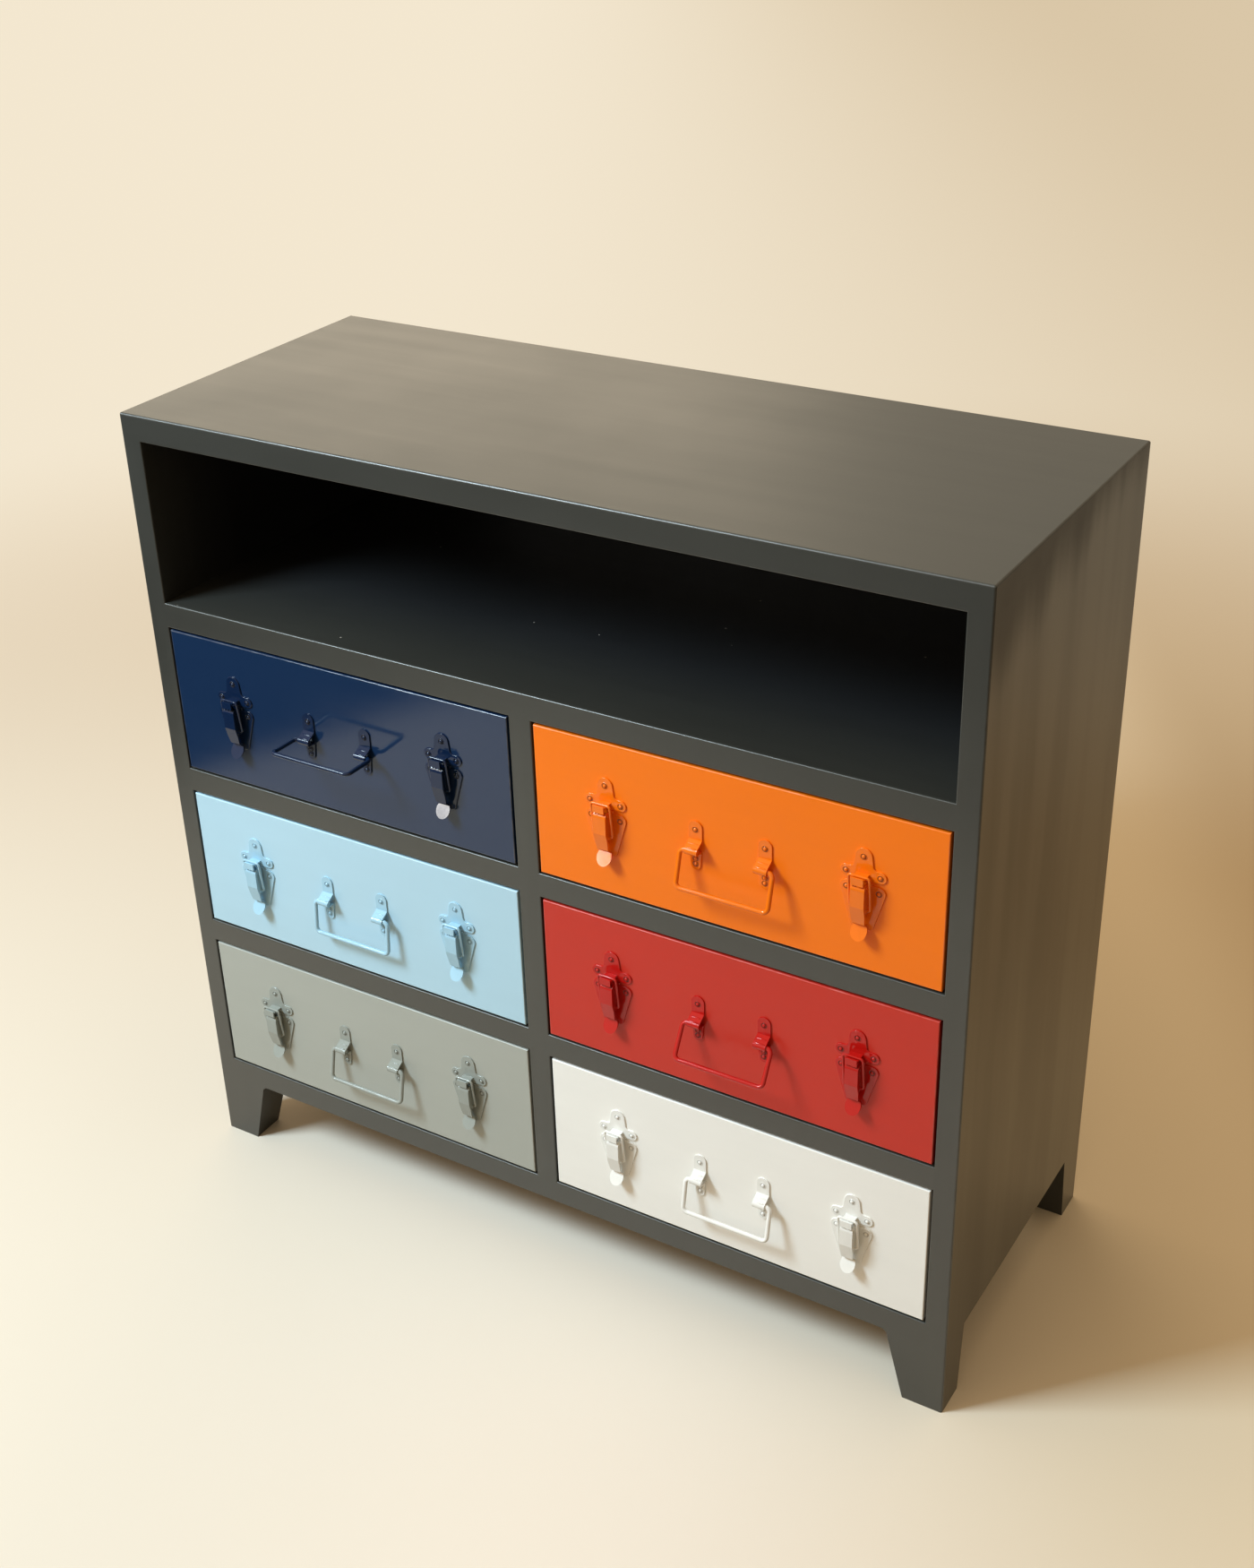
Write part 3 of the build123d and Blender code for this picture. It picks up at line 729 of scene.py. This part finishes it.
def rivet_profile(radius, height, rim):
    """A thin rim, a wide groove marked for painted shade and a dome, from the outside in."""
    groove = GROOVE_RISE * height
    ring = RING_RISE * height
    wall = rim - radius
    points = [(0.0, -HEAD_SINK, 0.0), (rim, -HEAD_SINK, 0.0), (rim, 0.0, 0.0)]
    points += [(rim - RING_TOP[0] * wall, ring, 0.0), (rim - RING_TOP[1] * wall, ring, 0.5)]
    points += [(rim - GROOVE_START * wall, groove, 1.0), (radius, groove, 1.0)]
    for angle in DOME_ANGLES:
        turn = radians(angle)
        points.append((radius * cos(turn), groove + (height - groove) * sin(turn), 0.0))
    points.append((0.0, height, 0.0))
    return points


def rib_profile(radius, half_length):
    """A straight round bar with rounded ends, from end to end."""
    shoulder = half_length - radius
    end = shoulder + RIB_ROUND * radius
    points = [(0.0, half_length), (RIB_ROUND * radius, end), (radius, shoulder)]
    mirrored = [(reach, -along) for reach, along in points]
    return [(reach, along, 0.0) for reach, along in mirrored + points[::-1]]


def back_nails():
    """Flat nail heads round the edge of the back panel and along the boards behind it, as one piece."""
    sizes = bpy.context.scene.chest_fasteners
    low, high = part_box("back_panel")
    inset = sizes.nail_margin
    middle = 0.5 * (low.x + high.x)
    shelf = 0.5 * sum(corner.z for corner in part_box(SHELF))
    width, rise = high.x - low.x - 2.0 * inset, high.z - low.z - 2.0 * inset
    columns = max(2, round(width / sizes.nail_pitch))
    rows = max(2, round(rise / sizes.nail_pitch))
    across = [low.x + inset + width * step / columns for step in range(columns + 1)]
    upward = [low.z + inset + rise * step / rows for step in range(rows + 1)]
    spots = [(x, z) for x in across for z in (upward[0], shelf, upward[-1])]
    spots += [(x, z) for x in (across[0], across[-1]) for z in upward[1:-1]]
    spots += [(middle, z) for z in upward[1:-1] if z < shelf]
    radius, height = sizes.nail_radius, sizes.nail_height
    profile = [(0.0, -HEAD_SINK, 0.0), (radius, -HEAD_SINK, 0.0), (radius, NAIL_WALL * height, 0.0)]
    profile += [(NAIL_FLAT * radius, height, 0.0), (0.0, height, 0.0)]
    bm = bmesh.new()
    layer = bm.verts.layers.float.new("recess")
    for x, z in spots:
        turned_head(bm, layer, profile, NAIL_SIDES, Vector((x, high.y, z)), (0.0, 1.0, 0.0))
    finish_piece("back_panel_nails", bm, nail_material(), "cabinet")


def drawer_rivets(drawer):
    """The rivets of one drawer's latches and handle lugs and the ribs of the lugs' roofs, as one piece."""
    sizes = bpy.context.scene.chest_fasteners
    low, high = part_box(f"{drawer}_front")
    middle = 0.5 * (low + high)
    spots = [(side * LATCH_SPREAD + u, v) for side in (-1, 1) for u, v in LATCH_RIVETS]
    spots += [(side * LUG_SPREAD + u, v) for side in (-1, 1) for u, v in LUG_RIVETS]
    bm = bmesh.new()
    layer = bm.verts.layers.float.new("recess")
    profile = rivet_profile(sizes.rivet_radius, sizes.rivet_height, sizes.rivet_rim)
    for u, v in spots:
        place = Vector((middle.x + u * MM, low.y - PLATE_THICKNESS * MM, middle.z + v * MM))
        turned_head(bm, layer, profile, sizes.rivet_sides, place, (0.0, -1.0, 0.0))
    rib = rib_profile(RIB_RADIUS * MM, RIB_HALF_LENGTH * MM)
    for side in (-1, 1):
        for reach, height in LUG_RIBS:
            place = Vector((middle.x + side * LUG_SPREAD * MM, low.y - reach * MM, middle.z + height * MM))
            turned_head(bm, layer, rib, RIB_SIDES, place, (1.0, 0.0, 0.0))
    material = metal_material(drawer, riveted=True)
    finish_piece(f"{drawer}_rivets", bm, material, f"{drawer}_drawer")


# Operators


class CHEST_OT_carcass_paint(bpy.types.Operator):
    """Paints the boards and feet of the carcass"""

    bl_idname = "chest.carcass_paint"
    bl_label = "Paint the carcass"

    def execute(self, context):
        level = carcass_material("carcass_paint_level", LEVEL_STROKES, LEVEL_CLOUDING)
        upright = carcass_material("carcass_paint_upright", UPRIGHT_STROKES, UPRIGHT_CLOUDING)
        shelf = carcass_material("carcass_paint_shelf", LEVEL_STROKES, LEVEL_CLOUDING, dusty=True)
        for node in LEVEL_BOARDS:
            paint_node(node, level)
        for node in UPRIGHT_BOARDS:
            paint_node(node, upright)
        paint_node(SHELF, shelf)
        return {"FINISHED"}


class CHEST_OT_drawer_fronts(bpy.types.Operator):
    """Paints each drawer front in its own colour"""

    bl_idname = "chest.drawer_fronts"
    bl_label = "Paint the drawer fronts"

    def execute(self, context):
        for drawer in DRAWERS:
            paint_node(f"{drawer}_front", front_material(drawer))
        return {"FINISHED"}


class CHEST_OT_drawer_boxes(bpy.types.Operator):
    """Gives the drawer boxes their bare wood"""

    bl_idname = "chest.drawer_boxes"
    bl_label = "Finish the drawer boxes"

    def execute(self, context):
        wood = box_material()
        for drawer in DRAWERS:
            paint_node(f"{drawer}_box", wood)
        return {"FINISHED"}


class CHEST_OT_hardware(bpy.types.Operator):
    """Paints the latches and handles in their drawer's colour"""

    bl_idname = "chest.hardware"
    bl_label = "Paint the latches and handles"

    def execute(self, context):
        for drawer in DRAWERS:
            metal = metal_material(drawer)
            for piece in HARDWARE:
                paint_node(f"{drawer}_{piece}", metal)
        return {"FINISHED"}


class CHEST_OT_rivets(bpy.types.Operator):
    """Sets the rivets of the latches and handle lugs, and the ribs of the lugs"""

    bl_idname = "chest.rivets"
    bl_label = "Set the rivets"

    def execute(self, context):
        for drawer in DRAWERS:
            drawer_rivets(drawer)
        return {"FINISHED"}


class CHEST_OT_nails(bpy.types.Operator):
    """Drives the nails of the back panel"""

    bl_idname = "chest.nails"
    bl_label = "Nail the back panel"

    def execute(self, context):
        back_nails()
        return {"FINISHED"}


class CHEST_OT_stage(bpy.types.Operator):
    """Lays the floor and sets the light and the camera"""

    bl_idname = "chest.stage"
    bl_label = "Set the stage"

    def execute(self, context):
        scene = context.scene
        scene.view_settings.view_transform = "Standard"
        lay_floor(scene)
        set_world(scene)
        set_lights(scene)
        set_camera(scene)
        return {"FINISHED"}


# Stage


def seen_or_mirrored(tree):
    """1 for rays from the camera and from mirrors and glass, 0 for rays that only carry light."""
    path = tree.nodes.new("ShaderNodeLightPath").outputs
    direct = calc(tree, "MAXIMUM", path["Is Camera Ray"], path["Is Glossy Ray"])
    return calc(tree, "MAXIMUM", direct, path["Is Transmission Ray"])


def along_direction(tree, place, direction):
    """How far a place lies along a direction."""
    made = add_node(tree, "ShaderNodeVectorMath", {0: place, 1: direction}, operation="DOT_PRODUCT")
    return made.outputs["Value"]


RIGHTWARDS = (cos(CAMERA_AZIMUTH), sin(CAMERA_AZIMUTH), 0.0)
FLOOR_SIZE = 14.0
# Across the picture from the chest's middle to the right, in metres: where two creams of the floor meet, the
# outer ones darker as painted shade
LEFT_BAND = (-0.6, 0.0)
RIGHT_BAND = (0.0, 0.6)
EDGE_BAND = (0.66, 0.92)
PAPER_SCALE = 3.0
PAPER_CLOUDING = 0.06
PAPER_FIBRE = (0.7, 0.62, 0.5, 1.0)
# Colour of the floor to rays that only carry light
FLOOR_BOUNCE = (0.36, 0.32, 0.26, 1.0)
# Distances from the chest at which the floor turns into the sweep, and the sweep into the world's colours
SWEEP_START = (1.3, 2.8)
SWEEP_END = (9.0, 13.5)
SWEEP_ACROSS = (-0.6, 2.2)
SWEEP_SIDES = (-0.2, 0.7)
# Where the paper ends for mirrors: distance and direction of its left and front edges, and how sharp they are;
# past them, and in a wing far to the right, mirrors see a painted dark reflection
PAPER_EDGE = 1.26
PAPER_EDGE_SIDE = (-0.909, -0.417, 0.0)
PAPER_FRONT = 1.163
PAPER_FRONT_SIDE = (0.178, -0.984, 0.0)
PAPER_BLUR = (-0.03, 0.05)
WING_BAND = (1.4, 1.75)
WING_SHARE = 0.35
PAINTED_REFLECTION_DARK = (0.012, 0.014, 0.018, 1.0)


def past_edge(tree, place, side, distance):
    """0 on the paper, 1 past its edge on one side."""
    soft, full = PAPER_BLUR
    return spread(tree, along_direction(tree, place, side), distance + soft, distance + full)


def lay_floor(scene):
    """A cream paper floor, darker to the left and the right as painted shade, that turns into a glowing sweep
    further off, dimmer to the right as painted shade, and ends in a painted dark reflection for mirrors only.
    """
    stage = scene.chest_stage
    bm = bmesh.new()
    bmesh.ops.create_grid(bm, x_segments=8, y_segments=8, size=FLOOR_SIZE)
    mesh = bpy.data.meshes.new("studio_floor")
    bm.to_mesh(mesh)
    bm.free()
    floor = bpy.data.objects.new("studio_floor", mesh)
    scene.collection.objects.link(floor)
    material = bpy.data.materials.new("floor_cream")
    tree = clear_tree(material)
    place = object_place(tree)
    across = along_direction(tree, place, RIGHTWARDS)
    near = rgba(stage.floor_left_shade)
    bands = (
        (LEFT_BAND, stage.floor_middle),
        (RIGHT_BAND, stage.floor_right_shade),
        (EDGE_BAND, stage.floor_edge_shade),
    )
    # Painted shade: the floor's cream darkens to the left and to the right.
    for band, cream in bands:
        near = blend(tree, spread(tree, across, *band, smooth=True), near, rgba(cream))
    paper = spread(tree, noise(tree, place, PAPER_SCALE, 3.0), 0.3, 0.7, 0.0, PAPER_CLOUDING)
    near = blend(tree, paper, near, PAPER_FIBRE)
    shown = seen_or_mirrored(tree)
    lit = blend(tree, shown, FLOOR_BOUNCE, near)
    sheet = add_node(tree, "ShaderNodeBsdfDiffuse", {"Color": lit})
    distance = add_node(tree, "ShaderNodeVectorMath", {0: place}, operation="LENGTH").outputs["Value"]
    far_side = spread(tree, across, *SWEEP_ACROSS, smooth=True)
    end_side = spread(tree, calc(tree, "DIVIDE", across, distance), *SWEEP_SIDES)
    # Painted shade: the sweep dims to the right.
    sweep_colour = blend(tree, far_side, rgba(stage.sweep_bright), rgba(stage.sweep_right_shade))
    end_colour = blend(tree, end_side, rgba(stage.sweep_bright), rgba(stage.sweep_right_shade))
    sweep_colour = blend(tree, spread(tree, distance, *SWEEP_END, smooth=True), sweep_colour, end_colour)
    sweep = add_node(tree, "ShaderNodeEmission", {"Color": sweep_colour, "Strength": 1.0})
    far = calc(tree, "MULTIPLY", spread(tree, distance, *SWEEP_START, smooth=True), shown)
    floor_shader = add_node(tree, "ShaderNodeMixShader", {0: far, 1: sheet.outputs[0], 2: sweep.outputs[0]})
    # Painted reflection: a dark sheet that only mirrors see past the paper's edges and in its right wing.
    dark = add_node(tree, "ShaderNodeEmission", {"Color": PAINTED_REFLECTION_DARK, "Strength": 1.0})
    left = past_edge(tree, place, PAPER_EDGE_SIDE, PAPER_EDGE)
    front = past_edge(tree, place, PAPER_FRONT_SIDE, PAPER_FRONT)
    wing = calc(tree, "MULTIPLY", spread(tree, across, *WING_BAND, smooth=True), WING_SHARE)
    edge = calc(tree, "MAXIMUM", calc(tree, "MAXIMUM", left, front), wing)
    glossy = tree.nodes.new("ShaderNodeLightPath").outputs["Is Glossy Ray"]
    ended = calc(tree, "MULTIPLY", edge, glossy)
    both = add_node(tree, "ShaderNodeMixShader", {0: ended, 1: floor_shader.outputs[0], 2: dark.outputs[0]})
    output = tree.nodes.new("ShaderNodeOutputMaterial")
    tree.links.new(both.outputs[0], output.inputs["Surface"])
    mesh.materials.append(material)


# The light from all around leans towards the upper left.
AMBIENT_LEAN = (-0.80, -0.05, 0.60)
AMBIENT_RANGE = (-0.70, 0.85)
AMBIENT_LEVELS = (0.03, 1.55)


def set_world(scene):
    """Warm light from all around, stronger from the upper left, and a cream sweep for mirrors, dimmer to the
    right as painted shade.
    """
    stage = scene.chest_stage
    world = bpy.data.worlds.new("studio")
    scene.world = world
    tree = clear_tree(world)
    direction = add_node(tree, "ShaderNodeTexCoord").outputs["Generated"]
    lean = along_direction(tree, direction, AMBIENT_LEAN)
    leaning = spread(tree, lean, *AMBIENT_RANGE, *AMBIENT_LEVELS)
    light = add_node(tree, "ShaderNodeBackground", {"Color": rgba(stage.ambient), "Strength": leaning})
    # Painted shade: the sweep seen by the camera and mirrors dims to the right.
    side = spread(tree, along_direction(tree, direction, RIGHTWARDS), *SWEEP_SIDES)
    sweep = blend(tree, side, rgba(stage.sweep_bright), rgba(stage.sweep_right_shade))
    shown = add_node(tree, "ShaderNodeBackground", {"Color": sweep, "Strength": 1.0})
    shaders = {0: seen_or_mirrored(tree), 1: light.outputs[0], 2: shown.outputs[0]}
    both = add_node(tree, "ShaderNodeMixShader", shaders)
    output = tree.nodes.new("ShaderNodeOutputWorld")
    tree.links.new(both.outputs[0], output.inputs["Surface"])


KEY_AZIMUTH = radians(-44.0)
KEY_ELEVATION = radians(43.0)
KEY_DISTANCE = 2.6
KEY_AIM = (0.0, -0.15, 0.45)
SHEEN_PLACE = (-2.5, 3.0, 1.75)
SHEEN_AIM = (-0.25, 0.0, 0.85)
SHEEN_SIZE = (2.2, 1.3)
GLINT_PLACE = (-1.25, -2.03, 1.40)
GLINT_AIM = (0.0, -0.16, 0.52)
GLINT_SIZE = (0.55, 0.16)


def add_area_light(scene, name, place, aim, size, colour, energy):
    lamp = bpy.data.lights.new(name, "AREA")
    lamp.shape = "RECTANGLE"
    lamp.size, lamp.size_y = size
    lamp.color = colour
    lamp.energy = energy
    light = bpy.data.objects.new(name, lamp)
    scene.collection.objects.link(light)
    light.location = place
    light.rotation_euler = (Vector(place) - Vector(aim)).to_track_quat("Z", "Y").to_euler()
    light.visible_camera = False
    return light


def set_lights(scene):
    """A soft key from the front left, a low light far behind for the top, and a strip that the tabs mirror."""
    stage = scene.chest_stage
    flat = cos(KEY_ELEVATION)
    towards = Vector((flat * sin(KEY_AZIMUTH), -flat * cos(KEY_AZIMUTH), sin(KEY_ELEVATION)))
    place = Vector(KEY_AIM) + KEY_DISTANCE * towards
    energy = stage.key_level * pi * pi * KEY_DISTANCE**2
    size = (stage.key_size, stage.key_size)
    add_area_light(scene, "key", place, KEY_AIM, size, stage.key, energy)
    energy = stage.sheen_level * pi * SHEEN_SIZE[0] * SHEEN_SIZE[1]
    add_area_light(scene, "sheen", SHEEN_PLACE, SHEEN_AIM, SHEEN_SIZE, stage.sheen, energy)
    energy = stage.glint_level * pi * GLINT_SIZE[0] * GLINT_SIZE[1]
    strip = add_area_light(scene, "glint", GLINT_PLACE, GLINT_AIM, GLINT_SIZE, stage.glint, energy)
    strip.visible_diffuse = False


def set_camera(scene):
    """The camera that was fitted to the photograph."""
    azimuth, elevation, roll = CAMERA_AZIMUTH, CAMERA_ELEVATION, CAMERA_ROLL
    away = Vector((sin(azimuth) * cos(elevation), -cos(azimuth) * cos(elevation), sin(elevation)))
    level = Vector((cos(azimuth), sin(azimuth), 0.0))
    upright = away.cross(level)
    across = cos(roll) * level + sin(roll) * upright
    above = cos(roll) * upright - sin(roll) * level
    data = bpy.data.cameras.new("photo_camera")
    data.sensor_fit = "HORIZONTAL"
    data.sensor_width = SENSOR_WIDTH
    data.lens = FOCAL_PIXELS / PHOTO_WIDTH * SENSOR_WIDTH
    camera = bpy.data.objects.new("photo_camera", data)
    scene.collection.objects.link(camera)
    turn = Matrix((across, above, away)).transposed().to_4x4()
    camera.matrix_world = Matrix.Translation(CAMERA_PLACE) @ turn
    scene.camera = camera


# Panel and registration


class CHEST_PT_sidebar(bpy.types.Panel):
    """Lists the chest's operators, and its sizes and colours"""

    bl_idname = "CHEST_PT_sidebar"
    bl_label = "Chest of drawers"
    bl_space_type = "VIEW_3D"
    bl_region_type = "UI"
    bl_category = "Chest"

    def draw(self, context):
        for operator in OPERATORS:
            self.layout.operator(operator.bl_idname)
        for group in (context.scene.chest_paints, context.scene.chest_fasteners, context.scene.chest_stage):
            box = self.layout.box()
            for name in group.__annotations__:
                box.prop(group, name)


OPERATORS = (
    CHEST_OT_carcass_paint,
    CHEST_OT_drawer_fronts,
    CHEST_OT_drawer_boxes,
    CHEST_OT_hardware,
    CHEST_OT_rivets,
    CHEST_OT_nails,
    CHEST_OT_stage,
)
CLASSES = (ChestPaints, ChestFasteners, ChestStage) + OPERATORS + (CHEST_PT_sidebar,)


def register():
    for item in CLASSES:
        bpy.utils.register_class(item)
    bpy.types.Scene.chest_paints = PointerProperty(type=ChestPaints)
    bpy.types.Scene.chest_fasteners = PointerProperty(type=ChestFasteners)
    bpy.types.Scene.chest_stage = PointerProperty(type=ChestStage)


def unregister():
    del bpy.types.Scene.chest_stage
    del bpy.types.Scene.chest_fasteners
    del bpy.types.Scene.chest_paints
    for item in reversed(CLASSES):
        bpy.utils.unregister_class(item)


def main():
    register()
    bpy.ops.chest.carcass_paint()
    bpy.ops.chest.drawer_fronts()
    bpy.ops.chest.drawer_boxes()
    bpy.ops.chest.hardware()
    bpy.ops.chest.rivets()
    bpy.ops.chest.nails()
    bpy.ops.chest.stage()


if __name__ == "__main__":
    main()
